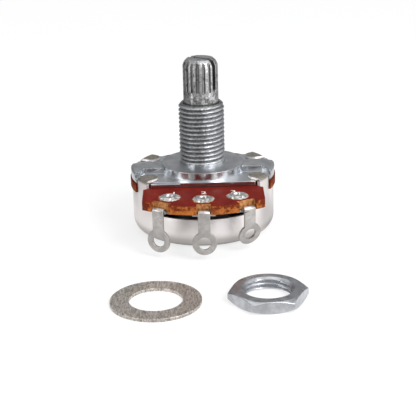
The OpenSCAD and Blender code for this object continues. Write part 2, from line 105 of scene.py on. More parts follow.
# Threaded sleeves and the plain walls that they cover
BUSHING_WALL = BUSHING_CREST - BUSHING_CHAMFER - 0.03 * MM
NUT_WALL = NUT_CREST + THREAD_DEPTH + 0.06 * MM
SLEEVE_LAP = 0.02 * MM  # how far a sleeve's hidden wall lies inside the plain one
SLEEVE_FOOT = -0.1 * MM  # height of the lower end of the bushing's sleeve, inside the boss
SLEEVE_GAP = 0.002 * MM  # space between a sleeve's end and the face beside it

# Segments and rings of the grids
THREAD_SEGMENTS = 144
BUSHING_RINGS = 240
NUT_RINGS = 64
EYELET_SEGMENTS = 120
EYELET_RINGS = 84

# Eyelets' rims
EYELET_PETALS = {1: (6, 0.4), 2: (7, 1.1), 3: (6, 2.0)}  # how many petals, and their turn in radians
SPLIT_DROP = 0.12 * MM  # how far the rim's upper side drops at a split
SPLIT_SHRINK = 0.12  # share by which the rim shrinks at a split
RIM_WAVE = 0.05 * MM  # how far the rim waves up and down
RIM_RADII = (0.62, 0.98)  # shares of the head's radius over which the rim begins
RIM_HEIGHTS = (BOARD_TOP, BOARD_TOP + 0.03 * MM)  # heights over which the rim begins
RIM_UPPER_SIDE = BOARD_TOP + 0.1 * MM  # height above which a split lowers the rim
SPLIT_SPAN = (0.72, 1.0)  # places from a petal's middle, 0, to a split, 1, over which the split deepens

# Printed numbers
NUMBER_PLACES = {"1": (-4.9, -11.1), "2": (0.05, -11.25), "3": (5.0, -11.0)}  # middle of the foot, in mm
NUMBER_SIZE = 1.7 * MM
NUMBER_STRETCH = 1.2  # width over that of the built-in lettering
INK_HALF = 0.008 * MM  # half the ink's thickness
INK_SINK = 0.002 * MM  # how far the ink goes into the board

# Widths of the rounding along sharp edges
MACHINED_EDGE = 0.06 * MM
NODE_EDGES = {
    "shaft": 0.04 * MM,
    "terminal_board": 0.05 * MM,
    "terminal_1": 0.07 * MM,
    "terminal_2": 0.07 * MM,
    "terminal_3": 0.07 * MM,
    "rear_cover": 0.06 * MM,
    "flat_washer": 0.05 * MM,
}

# Limits in mesh work
WELD_DISTANCE = 0.001 * MM  # points closer than this become one
RADIUS_SLACK = 0.02 * MM  # points this near a radius or a height count as on it
FLAT_ANGLE = math.radians(0.3)  # faces that meet flatter than this are joined
SHARP_ANGLE = math.radians(35)  # edges sharper than this are rounded
SMOOTH_ANGLE = math.radians(50)  # edges flatter than this are shaded smooth
LARGE_FACE_WEIGHT = 90  # how much large faces count in the shading, where 50 is no more than small ones

# Camera and floor
CAMERA_DISTANCE = 202 * MM  # distance from the origin
CAMERA_ELEVATION = math.radians(17.7)
CAMERA_ROLL = math.radians(-1.4)
CAMERA_LENS = 100.0  # focal length in millimetres
CAMERA_NEAREST = 10 * MM
CAMERA_FURTHEST = 10.0
AIM_BELOW = 8.24 * MM  # how far the camera aims below the origin
AIM_RIGHT = 0.74 * MM  # how far the camera aims to the right of the origin
FLOOR_HALF = 1.5  # half the floor's width


class Signal:
    """A value that flows through nodes. Arithmetic on a number adds Math nodes."""

    def __init__(self, tree, socket):
        self.tree = tree
        self.socket = socket

    def _maths(self, operation, *values):
        return self.tree.node("ShaderNodeMath", {"operation": operation}, *values)

    def __add__(self, other):
        return self._maths("ADD", self, other)

    __radd__ = __add__

    def __sub__(self, other):
        return self._maths("SUBTRACT", self, other)

    def __rsub__(self, other):
        return self._maths("SUBTRACT", other, self)

    def __mul__(self, other):
        return self._maths("MULTIPLY", self, other)

    __rmul__ = __mul__

    def __truediv__(self, other):
        return self._maths("DIVIDE", self, other)

    def __abs__(self):
        return self._maths("ABSOLUTE", self)

    def root(self):
        """Square root."""
        return self._maths("SQRT", self)

    def either(self, other):
        """The larger of the two."""
        return self._maths("MAXIMUM", self, other)

    def rise(self, low, high):
        """Smooth step from 0 at low to 1 at high."""
        limits = {"From Min": low, "From Max": high}
        smooth_step = {"interpolation_type": "SMOOTHSTEP"}
        return self.tree.node("ShaderNodeMapRange", smooth_step, Value=self, **limits)


class NodeTree:
    """Nodes of a material or of the world, added by a few short calls."""

    def __init__(self, owner):
        owner.use_nodes = True
        self.nodes = owner.node_tree.nodes
        self.links = owner.node_tree.links

    def node(self, kind, settings=None, *values, output=None, **named):
        """Adds a node, sets its settings, fills sockets by place or by identifier, and gives one output."""
        made = self.nodes.new(kind)
        for key, value in (settings or {}).items():
            setattr(made, key, value)
        for socket, value in zip(made.inputs, values):
            self.fill(socket, value)
        sockets = {socket.identifier: socket for socket in made.inputs}
        for name, value in named.items():
            self.fill(sockets[name], value)
        outputs = {socket.identifier: socket for socket in made.outputs}
        return Signal(self, outputs[output] if output else made.outputs[0])

    def fill(self, socket, value):
        """Links a signal to a socket, or sets the socket's own value, where a colour is three numbers."""
        if isinstance(value, Signal):
            self.links.new(value.socket, socket)
        elif socket.type == "RGBA":
            socket.default_value = (*value, 1)
        else:
            socket.default_value = value

    def parts(self, vector):
        """The X, Y and Z parts of a vector, as three signals."""
        split = self.node("ShaderNodeSeparateXYZ", None, vector).socket.node
        return [Signal(self, output) for output in split.outputs]

    def along(self, vector, direction):
        """How far a vector reaches along a direction, as their dot product."""
        product = {"operation": "DOT_PRODUCT"}
        return self.node("ShaderNodeVectorMath", product, vector, direction, output="Value")

    def rays_seen(self):
        """1 for camera, glossy and transmission rays, as three signals."""
        paths = self.node("ShaderNodeLightPath").socket.node
        kinds = ("Camera", "Glossy", "Transmission")
        return [Signal(self, paths.outputs[f"Is {kind} Ray"]) for kind in kinds]

    def blend(self, factor, first, second):
        """Colour that goes from first to second as factor goes from 0 to 1."""
        sockets = {"Factor_Float": factor, "A_Color": first, "B_Color": second}
        return self.node("ShaderNodeMix", {"data_type": "RGBA"}, output="Result_Color", **sockets)


class Finish(NodeTree):
    """A material around one Principled shader."""

    def __init__(self, name, **constants):
        self.material = bpy.data.materials.new(name)
        super().__init__(self.material)
        self.shader = self.nodes["Principled BSDF"]
        self.place = self.node("ShaderNodeTexCoord", output="Object")
        self.feed(**constants)

    def feed(self, **inputs):
        """Fills the shader's sockets; an underscore stands for a space."""
        for socket, value in inputs.items():
            self.fill(self.shader.inputs[socket.replace("_", " ")], value)
        return self

    def axes(self):
        """Object coordinates X, Y and Z in millimetres, as three signals."""
        return [part / MM for part in self.parts(self.place)]

    def above(self, level):
        """Height in millimetres above a level that is given in metres."""
        return self.axes()[2] - level / MM

    def away(self, x=0, y=0):
        """Distance in millimetres from an upright line whose place is given in metres."""
        east, north, _ = self.axes()
        east = east - x / MM
        north = north - y / MM
        return (east * east + north * north).root()

    def facing(self):
        """X, Y and Z parts of the surface's normal, from -1 to 1."""
        return self.parts(self.node("ShaderNodeNewGeometry", output="Normal"))

    def noise(self, size_mm, detail, roughness=0.5, squeeze=(1, 1, 1)):
        """Cloudy noise from 0 to 1, in patches of about size_mm divided by the squeeze along each axis."""
        place = self.node("ShaderNodeMapping", None, Vector=self.place, Scale=squeeze)
        sockets = {"Vector": place, "Scale": 1 / (size_mm * MM), "Detail": detail, "Roughness": roughness}
        return self.node("ShaderNodeTexNoise", None, **sockets)

    def bump(self, height, depth_mm):
        """Feeds the shader's normal with a bump; height 1 stands depth_mm above height 0."""
        made = self.node("ShaderNodeBump", None, Strength=1.0, Distance=depth_mm * MM, Height=height)
        return self.feed(Normal=made)


def cast_zinc():
    """Bright zinc plate on a die casting: grained grey faces, glossier side walls, up-facing pocket floors
    painted lighter as a painted highlight, and a rougher, speckled thread.

    Painted shade and grime lie in the thread's roots, and a painted shadow along the seam with the board."""
    dull = (0.43, 0.442, 0.46)
    bright = (0.59, 0.602, 0.62)
    pocket_highlight = (0.74, 0.76, 0.79)
    thread_plate = (0.62, 0.63, 0.64)
    thread_speck = (0.19, 0.19, 0.195)
    speck = (0.22, 0.22, 0.225)
    shade_and_grime = (0.06, 0.06, 0.062)
    finish = Finish("cast_zinc", Metallic=1.0)
    cloud = finish.noise(2.4, 4)
    fine = finish.noise(0.2, 4, 0.6)
    grit = finish.noise(0.32, 3, 0.7)
    up = finish.facing()[2]
    depth = BUSHING_CREST / MM - finish.away()
    thread = depth.rise(-0.20, -0.05) * finish.above(0).rise(0.2, 0.6)
    wall = (1 - abs(up).rise(0.3, 0.65)) * (1 - thread)
    # painted shadow line along the foot of the walls, at the seam with the board
    seam = wall * (1 - finish.above(BOARD_TOP).rise(0.10, 0.30))
    pocket = (1 - finish.above(-POCKET_DEPTH).rise(0.10, 0.25)) * up.rise(0.5, 0.9)
    root = thread * depth.rise(0.11, 0.41) * (1 - depth.rise(0.55, 0.65))
    colour = finish.blend(cloud.rise(0.3, 0.7), dull, bright)
    # painted highlight: pocket floors that face up are painted lighter
    colour = finish.blend(pocket * 0.8, colour, pocket_highlight)
    colour = finish.blend(thread * 0.5, colour, thread_plate)
    colour = finish.blend(thread * grit.rise(0.42, 0.60) * 0.65, colour, thread_speck)
    colour = finish.blend((1 - thread) * (1 - pocket) * grit.rise(0.5, 0.75) * 0.3, colour, speck)
    # painted shade in the thread's roots, with some grime, and the painted shadow line at the seam
    colour = finish.blend((root * (0.45 + grit * 0.5)).either(seam * 0.95), colour, shade_and_grime)
    rough = 0.36 - wall * 0.17 - pocket * 0.06 + cloud * 0.08 * (1 - wall) + root * 0.15 + seam * 0.3
    relief = fine * (1.0 + thread * 2.5) * (1 - wall * 0.8) + cloud * (1.2 - wall * 1.1)
    return finish.feed(Base_Color=colour, Roughness=rough).bump(relief, 0.010).material


def shaft_metal():
    """Turned and splined shaft: satin grey, pitted and stained, with faint rings round it.

    The collar under the teeth is lighter. Painted shade, with some dirt, darkens the roots between the
    teeth and the teeth's flanks, a painted shadow lies at the bushing's mouth, and stains and pits are
    darker."""
    splined = (0.55, 0.55, 0.555)
    plain = (0.64, 0.64, 0.645)
    shade_and_dirt = (0.11, 0.108, 0.105)
    finish = Finish("shaft_metal", Metallic=1.0)
    rings = finish.noise(0.9, 3, 0.7, (1, 1, 12))
    stain = finish.noise(1.0, 5, 0.7)
    pits = finish.noise(0.34, 4, 0.75)
    upright = 1 - abs(finish.facing()[2]).rise(0.3, 0.6)
    depth = SHAFT_RADIUS / MM - finish.away()
    root = depth.rise(0.10, 0.38) * upright
    flank = depth.rise(0.10, 0.18) * (1 - depth.rise(0.29, 0.33)) * upright
    seam = 1 - finish.above(BUSHING_TOP).rise(0.08, 0.42)
    collar = 1 - finish.above(SHAFT_TOP - SPLINE_LENGTH).rise(-0.3, 0.1)
    marks = (stain + collar * 0.06).rise(0.50, 0.66) * 0.6 + pits.rise(0.42, 0.60) * 0.5
    # painted shade in the roots and on the teeth's flanks, with some dirt, painted shadow at the bushing's
    # mouth, and real stains and pits
    dark = (root * (0.10 + pits * 0.75)).either(marks).either(seam).either(flank * 0.85)
    colour = finish.blend(dark, finish.blend(collar, splined, plain), shade_and_dirt)
    rough = 0.29 + rings * 0.10 + dark * 0.2
    relief = rings + pits * (3 - collar * 1.8)
    return finish.feed(Base_Color=colour, Roughness=rough).bump(relief, 0.020).material


def cover_metal():
    """Bright plate on drawn sheet, shaded round its foot.

    The folded tabs are duller and grained, with painted shade that makes them a much darker copy of the
    plate, and a painted shadow on the lower half of their edges."""
    wall_dull = (0.87, 0.825, 0.808)
    wall_bright = (0.945, 0.905, 0.89)
    shaded = (0.30, 0.275, 0.255)
    tab_shade_dark = (0.23, 0.208, 0.182)
    tab_shade_light = (0.40, 0.372, 0.335)
    finish = Finish("cover_metal", Metallic=1.0)
    x, y, _ = finish.axes()
    east, north, up = finish.facing()
    outward = ((x * east + y * north) / finish.away()).rise(0.25, 0.6)
    foot = finish.above(FLOOR_Z)
    tab = finish.above(TAB_TOP)
    # painted shade: the tabs' faces that look up or outwards take a much darker copy of the plate's colour
    folded = tab.rise(-0.90, -0.35) * up.rise(0.35, 0.75).either(outward)
    # painted shadow on the lower half of the tabs' edges
    under_face = tab.rise(-0.65, -0.55) * (1 - tab.rise(-0.43, -0.31)) * (1 - outward)
    shadow = (1 - foot.rise(1.5, 2.9)) * 0.42 + (1 - foot.rise(0.1, 1.0)) * 0.4
    drawn = finish.noise(1.6, 4, 0.6, (1, 1, 0.12))
    wall = finish.blend(finish.noise(5.0, 3).rise(0.35, 0.7), wall_dull, wall_bright)
    wall = finish.blend(shadow.either(under_face), wall, shaded)
    tab_painted_shade = finish.blend(finish.noise(0.35, 4).rise(0.3, 0.75), tab_shade_dark, tab_shade_light)
    colour = finish.blend(folded, wall, tab_painted_shade)
    rough = 0.45 + drawn * 0.10 + folded * 0.08
    relief = drawn * (1 - folded) + finish.noise(0.25, 4) * (folded + 0.1)
    return finish.feed(Base_Color=colour, Roughness=rough).bump(relief, 0.008).material


def laminate():
    """Resin-bonded paper board: dark red face, and sawn edges that show its brown layers, lighter towards
    the foot and darker at the tongue's corners.

    The resin is chipped to a pale fringe in the lugs' notches and round each eyelet."""
    resin_dark = (0.115, 0.006, 0.003)
    resin_red = (0.170, 0.013, 0.006)
    sawn_dark = (0.12, 0.020, 0.007)
    sawn_brown = (0.38, 0.122, 0.027)
    fringe_brown = (0.30, 0.095, 0.022)
    fringe_pale = (0.58, 0.33, 0.14)
    finish = Finish("laminate", IOR=1.45, Specular_IOR_Level=0.06)
    face = abs(finish.facing()[2]).rise(0.35, 0.75)
    layers = finish.noise(1.5, 5, 0.75, (0.4, 0.4, 3.2))
    fray = finish.noise(0.5, 4, 0.65)
    mottle = finish.noise(2.4, 5, 0.65)
    fringe = finish.blend(fray.rise(0.32, 0.68), fringe_brown, fringe_pale)
    low = 1 - finish.above(BOARD_FOOT).rise(0.1, 1.3)
    corner = (abs(finish.axes()[0]) - TONGUE_HALF / MM).rise(-1.0, -0.6)
    streak = layers * 0.80 + low * 0.20 + (fray - 0.5) * 1.4 - corner * 0.16
    edge = finish.blend(streak.rise(0.30, 0.66), sawn_dark, sawn_brown)
    past_notch = finish.away() - NOTCH_RADIUS / MM
    notch = past_notch.rise(-0.45, -0.15) * (1 - past_notch.rise(0.25, 0.75))
    edge = finish.blend(notch * 0.75, edge, fringe)
    top = finish.blend(mottle.rise(0.3, 0.75), resin_dark, resin_red)
    for number in EYELET_PETALS:
        x, y, _ = middle(f"eyelet_{number}")
        chipped = 1 - (finish.away(x, y) - fray * 0.9).rise(1.30, 1.50)
        top = finish.blend(chipped * 0.85, top, fringe)
    rough = 0.60 - face * 0.14 + fray * 0.06
    relief = layers * (1 - face) * 3 + mottle * 0.7
    colour = finish.blend(face, edge, top)
    return finish.feed(Base_Color=colour, Roughness=rough).bump(relief, 0.02).material


def tinned_sheet():
    """Dull tin plate of the solder lugs: pale grey, blotched and finely grained, darker at the ends."""
    dull = (0.45, 0.424, 0.405)
    bright = (0.635, 0.605, 0.583)
    lower_end_dark = (0.28, 0.27, 0.26)
    finish = Finish("tinned_sheet", Metallic=1.0)
    blotch = finish.noise(1.2, 4, 0.6)
    grain = finish.noise(0.22, 3, 0.6, (1, 1, 2))
    lug_end = 1 - finish.above(WIRE_HOLE_Z).rise(1.25, 2.65)
    colour = finish.blend(blotch.rise(0.3, 0.72), dull, bright)
    # darker towards the lugs' lower ends
    colour = finish.blend(lug_end * 0.35, colour, lower_end_dark)
    rough = 0.36 + blotch * 0.1 + grain * 0.08
    return finish.feed(Base_Color=colour, Roughness=rough).bump(grain + blotch, 0.012).material


def tinned_eyelet():
    """Bright tin on the flared eyelets, with darker creases."""
    bright = (0.78, 0.77, 0.75)
    creased = (0.26, 0.25, 0.24)
    finish = Finish("tinned_eyelet", Metallic=1.0)
    crease = finish.noise(0.45, 4, 0.7)
    colour = finish.blend(crease.rise(0.38, 0.66), bright, creased)
    relief = crease + finish.noise(0.15, 3) * 0.5
    return finish.feed(Base_Color=colour, Roughness=0.34 + crease * 0.18).bump(relief, 0.02).material


def nut_metal():
    """Bright zinc plate on the turned and chamfered nut."""
    dull = (0.42, 0.43, 0.45)
    bright = (0.59, 0.60, 0.63)
    finish = Finish("nut_metal", Metallic=1.0)
    cloud = finish.noise(1.4, 4)
    colour = finish.blend(cloud.rise(0.3, 0.7), dull, bright)
    relief = finish.noise(0.25, 4) + cloud
    return finish.feed(Base_Color=colour, Roughness=0.22 + cloud * 0.14).bump(relief, 0.010).material


def washer_metal():
    """Nickel plate on rolled sheet: warm grey with a fine sparkling grain and streaks across it."""
    dark = (0.27, 0.235, 0.205)
    bright = (0.80, 0.74, 0.68)
    finish = Finish("washer_metal", Metallic=1.0)
    grain = finish.noise(0.26, 4, 0.75)
    streak = finish.noise(0.5, 4, 0.7, (2.0, 0.45, 1))
    colour = finish.blend((grain * 0.5 + streak * 0.5).rise(0.38, 0.62), dark, bright)
    rough = 0.30 + grain * 0.2 + streak * 0.08
    return finish.feed(Base_Color=colour, Roughness=rough).bump(grain + streak, 0.012).material


def sprung_bronze():
    """Rolled bronze sheet of the contacts and the thrust washer."""
    dark = (0.50, 0.32, 0.13)
    bright = (0.72, 0.52, 0.27)
    finish = Finish("bronze", Metallic=1.0)
    rolled = finish.noise(0.8, 4, 0.6, (0.3, 3, 1))
    colour = finish.blend(rolled, dark, bright)
    return finish.feed(Base_Color=colour, Roughness=0.28 + rolled * 0.12).bump(rolled, 0.008).material


def spring_steel():
    """Dark phosphate finish of the retaining ring."""
    dark = (0.10, 0.10, 0.11)
    grey = (0.24, 0.24, 0.26)
    finish = Finish("spring_steel", Metallic=1.0)
    stain = finish.noise(0.9, 4)
    colour = finish.blend(stain, dark, grey)
    return finish.feed(Base_Color=colour, Roughness=0.4 + stain * 0.1).bump(stain, 0.01).material


def moulded_black():
    """Black thermoset moulding with a faint cloudy skin."""
    black = (0.010, 0.010, 0.011)
    faded = (0.026, 0.025, 0.025)
    finish = Finish("moulded_black")
    skin = finish.noise(1.5, 4)
    colour = finish.blend(skin, black, faded)
    return finish.feed(Base_Color=colour, Roughness=0.5 + skin * 0.15).bump(skin, 0.015).material


def printed_film(name, dark, light, roughness):
    """Printed track or lead: matte ink with a fine screen texture."""
    finish = Finish(name)
    screen = finish.noise(0.12, 2)
    colour = finish.blend(screen, dark, light)
    return finish.feed(Base_Color=colour, Roughness=roughness + screen * 0.1).bump(screen, 0.004).material


def number_ink():
    """Warm white printed ink, a little darker where it is thin."""
    thin = (0.62, 0.55, 0.50)
    full = (0.88, 0.84, 0.80)
    finish = Finish("number_ink", Roughness=0.6)
    cover = finish.noise(0.3, 3).rise(0.25, 0.6)
    return finish.feed(Base_Color=finish.blend(cover, thin, full)).material


def middle(node):
    """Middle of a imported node's box."""
    return np.mean(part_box(node), axis=0)


def smooth(value, low, high):
    """Smooth step from 0 at low to 1 at high."""
    share = np.clip((value - low) / (high - low), 0, 1)
    return share * share * (3 - 2 * share)


def closed_grid(rings):
    """Points and four-sided faces of a grid that closes round each ring and from the last to the first."""
    count, per_ring = rings.shape[:2]
    ring, spot = np.meshgrid(np.arange(count), np.arange(per_ring), indexing="ij")
    next_ring = (ring + 1) % count
    next_spot = (spot + 1) % per_ring
    corners = ((ring, spot), (ring, next_spot), (next_ring, next_spot), (next_ring, spot))
    faces = np.stack([across * per_ring + along for across, along in corners], axis=-1)
    return rings.reshape(-1, 3), faces.reshape(-1, 4)


def ring_grid(low, high, rings):
    """Heights of evenly spaced rings from low to high, and angles round them, as two grids."""
    heights = np.linspace(low, high, rings)
    angles = np.linspace(0, math.tau, THREAD_SEGMENTS, endpoint=False)
    return np.meshgrid(heights, angles, indexing="ij")


def turned(centre, radius, angle, height):
    """Points round an upright axis: the cosine and sine of the angle times the radius, and the height."""
    x = centre[0] + radius * np.cos(angle)
    y = centre[1] + radius * np.sin(angle)
    return np.stack([x, y, height], axis=-1)


def pick(*pieces):
    """Selects these pieces alone and makes the first one active."""
    bpy.ops.object.select_all(action="DESELECT")
    for piece in pieces:
        piece.select_set(True)
    bpy.context.view_layer.objects.active = pieces[0]


def add_piece(name, data):
    """Adds an object to the scene and picks it."""
    piece = bpy.data.objects.new(name, data)
    bpy.context.collection.objects.link(piece)
    pick(piece)
    return piece


def make_mesh(name, points, faces):
    """Mesh object from arrays of points and of four-sided faces, with its normals turned outwards."""
    mesh = bpy.data.meshes.new(name)
    mesh.from_pydata(points.tolist(), [], faces.tolist())
    mesh.validate()
    mesh.update()
    piece = add_piece(name, mesh)
    bpy.ops.object.mode_set(mode="EDIT")
    bpy.ops.mesh.select_all(action="SELECT")
    bpy.ops.mesh.normals_make_consistent(inside=False)
    bpy.ops.object.mode_set(mode="OBJECT")
    return piece


def node_copy(node, name):
    """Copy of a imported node's mesh, with doubled points merged and the triangles of flat faces joined."""
    piece = add_piece(name, frame["nodes"][node].data.copy())
    bpy.ops.object.mode_set(mode="EDIT")
    bpy.ops.mesh.select_all(action="SELECT")
    bpy.ops.mesh.remove_doubles(threshold=WELD_DISTANCE)
    bpy.ops.mesh.dissolve_limited(angle_limit=FLAT_ANGLE)
    bpy.ops.object.mode_set(mode="OBJECT")
    bpy.ops.mesh.customdata_custom_splitnormals_clear()
    return piece


def edge_bevel(piece, width, segments):
    """Adds a small rounded bevel along a piece's sharp edges, as a modifier."""
    bevel = piece.modifiers.new("edge", "BEVEL")
    bevel.width = width
    bevel.segments = segments
    bevel.limit_method = "ANGLE"
    bevel.angle_limit = SHARP_ANGLE
    return bevel


def round_edges(piece):
    """Rounds the sharp edges of a copied node, in its mesh."""
    bevel = edge_bevel(piece, MACHINED_EDGE, segments=3)
    pick(piece)
    bpy.ops.object.modifier_apply(modifier=bevel.name)


def soften(node, width):
    """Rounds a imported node's sharp edges by modifiers that first weld its loose triangles."""
    piece = frame["nodes"][node]
    weld = piece.modifiers.new("weld", "WELD")
    weld.merge_threshold = WELD_DISTANCE
    bevel = edge_bevel(piece, width, segments=2)
    bevel.harden_normals = True


def flatten_shading(piece):
    """Lets the large faces set the shading at their corners, so that flat walls reflect flat."""
    weighted = piece.modifiers.new("flat_faces", "WEIGHTED_NORMAL")
    weighted.mode = "FACE_AREA"
    weighted.weight = LARGE_FACE_WEIGHT
    weighted.keep_sharp = True


def move_ring(piece, centre, old_radius, new_radius, lowest):
    """Moves a piece's points above a height from one radius about an upright axis to another."""
    points = np.empty(len(piece.data.vertices) * 3)
    piece.data.vertices.foreach_get("co", points)
    points = points.reshape(-1, 3)
    offset = points[:, :2] - centre
    radius = np.hypot(offset[:, 0], offset[:, 1])
    chosen = (abs(radius - old_radius) < RADIUS_SLACK) & (points[:, 2] > lowest)
    points[chosen, :2] = centre + offset[chosen] * (new_radius / radius[chosen])[:, None]
    piece.data.vertices.foreach_set("co", points.ravel())
    piece.data.update()


def join(name, *pieces):
    """Joins pieces into the first one, under a new name."""
    pick(*pieces)
    bpy.ops.object.join()
    pieces[0].name = name
    pieces[0].data.name = name
    return pieces[0]


def groove(turns):
    """Depth share of a thread at a place in turns, from 0 on the crest to 1 in the groove.

    With the distance from the crest's middle as 0 to 1 over half a pitch, it stays 0 for the crest's share
    and rises to 1 over the flank's share, raised to the flank's power."""
    away = abs(2 * (turns % 1.0) - 1)
    return np.clip((away - CREST_SHARE) / FLANK_SHARE, 0, 1) ** FLANK_POWER


def worn_skin(shape):
    """Uneven wear from 0 to 1 on a grid that closes round: seeded random values, each averaged with the
    values beside it."""
    value = np.random.default_rng(WEAR_SEED).random(shape)
    for axis, step in ((0, 1), (1, 1), (0, 2)):
        value = (value + np.roll(value, step, axis)) / 2
    return smooth(value, *WEAR_SPAN)


def threaded_sleeve(name, centre, radius, angle, height, hidden_radius):
    """Closed tube of a threaded wall and a plain hidden wall, joined at both ends."""
    shown = turned(centre, radius, angle, height)
    hidden = turned(centre, hidden_radius, angle[[-1, 0]], height[[-1, 0]])
    return make_mesh(name, *closed_grid(np.concatenate([shown, hidden])))


def bushing_thread():
    """Closed tube with the bushing's thread outside.

    At height z and angle a its radius is the crest's, less the groove's depth at z over the pitch less a
    turns, less some wear where there is no groove, and no more than the end's chamfer leaves. The grooves
    deepen smoothly above the boss."""
    height, angle = ring_grid(SLEEVE_FOOT, BUSHING_TOP - SLEEVE_GAP, BUSHING_RINGS)
    turns = (height - FRONT_GROOVE) / THREAD_PITCH - (angle + math.pi / 2) / math.tau
    cut = groove(turns) * smooth(height, *THREAD_START)
    radius = BUSHING_CREST - THREAD_DEPTH * cut - CREST_WEAR * worn_skin(height.shape) * (1 - cut)
    chamfered = BUSHING_CREST - np.maximum(height - (BUSHING_TOP - BUSHING_CHAMFER), 0)
    radius = np.minimum(radius, chamfered)
    return threaded_sleeve("bushing_thread", (0, 0), radius, angle, height, BUSHING_WALL - SLEEVE_LAP)


def threaded_plate():
    """The mounting plate with its bushing's plain wall sunk under a threaded sleeve."""
    piece = node_copy("mounting_plate", "mounting_plate_core")
    move_ring(piece, (0, 0), BUSHING_CREST, BUSHING_WALL, -RADIUS_SLACK)
    round_edges(piece)
    return join("threaded_plate", piece, bushing_thread())


def nut_thread():
    """Closed tube with the nut's thread inside.

    At height z and angle a its radius is the crest's plus the groove's depth at z over the pitch less a
    turns, and no less than the mouths at both ends leave: the crest's plus the slope times the depth that
    is left to the mouth's bottom."""
    height, angle = ring_grid(NUT_FOOT + SLEEVE_GAP, NUT_TOP - SLEEVE_GAP, NUT_RINGS)
    radius = NUT_CREST + THREAD_DEPTH * groove(height / THREAD_PITCH - angle / math.tau)
    in_mouth = np.maximum(NUT_FOOT + NUT_MOUTH - height, height - (NUT_TOP - NUT_MOUTH))
    radius = np.maximum(radius, NUT_CREST + np.maximum(in_mouth, 0) * MOUTH_SLOPE)
    return threaded_sleeve("nut_thread", NUT_CENTRE, radius, angle, height, NUT_WALL + SLEEVE_LAP)


def threaded_nut():
    """The nut with its plain hole, and the hole's mouths, widened round a threaded sleeve."""
    piece = node_copy("mounting_nut", "mounting_nut_core")
    for radius in (NUT_CREST, NUT_CREST + NUT_MOUTH):
        move_ring(piece, NUT_CENTRE, radius, NUT_WALL, NUT_FOOT - RADIUS_SLACK)
    round_edges(piece)
    return join("threaded_nut", piece, nut_thread())


def flared_eyelet(number, petals, turn):
    """Closed eyelet: a profile carried round its axis, whose flared rim is split between its petals.

    Towards a split the rim shrinks and its upper side drops, each by a set share of a smooth step, and the
    rim's height also waves by a sine of twice the angle."""
    low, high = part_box(f"eyelet_{number}")
    head = (high[0] - low[0]) / 2
    foot = low[2] / MM
    board = BOARD_TOP / MM
    crown = high[2] / MM
    # Share of the head's radius, and height in mm: clinched foot, barrel, flare, crown and bore
    profile = np.array([
        (0.34, foot), (0.75, foot), (0.75, foot + 0.3),
        (0.5, foot + 0.45), (0.5, board - 0.02),
        (0.96, board - 0.01), (1.0, board + 0.06), (0.93, board + 0.16), (0.75, board + 0.24),
        (0.64, board + 0.36), (0.56, crown - 0.02), (0.49, crown),
        (0.42, crown - 0.07), (0.36, crown - 0.25), (0.34, foot)])
    place = np.linspace(0, len(profile) - 1, EYELET_RINGS, endpoint=False)[:, None]
    radius = np.interp(place, range(len(profile)), profile[:, 0]) * head
    height = np.interp(place, range(len(profile)), profile[:, 1]) * MM
    angle = np.linspace(0, math.tau, EYELET_SEGMENTS, endpoint=False)
    from_petal = abs(((angle + turn) * petals / math.tau) % 1.0 - 0.5) * 2
    rim = smooth(radius / head, *RIM_RADII) * smooth(height, *RIM_HEIGHTS)
    split = smooth(from_petal, *SPLIT_SPAN) * rim
    upper = height > RIM_UPPER_SIDE
    radius = radius * (1 - SPLIT_SHRINK * split)
    height = height - SPLIT_DROP * split * upper + RIM_WAVE * np.sin(angle * 2 + turn * 3) * rim
    rings = turned(middle(f"eyelet_{number}"), radius, angle, height)
    return make_mesh(f"flared_eyelet_{number}", *closed_grid(rings))


def printed_number(text, x, y):
    """Thin printed numeral on the board, from the built-in lettering; x and y are in millimetres."""
    curve = bpy.data.curves.new(f"number_{text}", "FONT")
    curve.body = text
    curve.size = NUMBER_SIZE
    curve.extrude = INK_HALF
    curve.align_x = "CENTER"
    add_piece(f"number_{text}", curve)
    bpy.ops.object.convert(target="MESH")
    piece = bpy.context.object
    place = Matrix.Translation((x * MM, y * MM, BOARD_TOP + INK_HALF - INK_SINK))
    piece.data.transform(place @ Matrix.Diagonal((NUMBER_STRETCH, 1, 1, 1)))
    return piece


def dress(piece, material):
    """Gives a new piece one material."""
    piece.data.materials.clear()
    piece.data.materials.append(material)
    first_slot = np.zeros(len(piece.data.polygons), dtype=np.int32)
    piece.data.polygons.foreach_set("material_index", first_slot)


def dress_node(node, material):
    """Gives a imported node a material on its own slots."""
    for slot in frame["nodes"][node].material_slots:
        slot.material = material


def shade_smooth(piece):
    """Smooth shading across edges flatter than the set angle."""
    pick(piece)
    bpy.ops.object.shade_smooth_by_angle(angle=SMOOTH_ANGLE)


def place_camera():
    """Camera in front of the part, a little above it, aimed below the mounting face."""
    data = bpy.data.cameras.new("camera")
    data.lens = CAMERA_LENS
    data.clip_start = CAMERA_NEAREST
    data.clip_end = CAMERA_FURTHEST
    camera = bpy.data.objects.new("camera", data)
    bpy.context.collection.objects.link(camera)
    back = Vector((0, -math.cos(CAMERA_ELEVATION), math.sin(CAMERA_ELEVATION)))
    up = Vector((0, math.sin(CAMERA_ELEVATION), math.cos(CAMERA_ELEVATION)))
    place = back * CAMERA_DISTANCE
    aim = Vector((AIM_RIGHT, 0, 0)) - up * AIM_BELOW
    turn = (aim - place).to_track_quat("-Z", "Y").to_matrix().to_4x4()
    camera.matrix_world = Matrix.Translation(place) @ turn @ Matrix.Rotation(CAMERA_ROLL, 4, "Z")
    bpy.context.scene.camera = camera


def soft_lamp(name, place, size, power):
    """Square soft lamp aimed at the origin; place and size are in millimetres, and power in watts."""
    data = bpy.data.lights.new(name, "AREA")
    data.size = size * MM
    data.energy = power
    lamp = bpy.data.objects.new(name, data)
    bpy.context.collection.objects.link(lamp)
    lamp.location = Vector(place) * MM
    lamp.rotation_euler = (-lamp.location).to_track_quat("-Z", "Y").to_euler()


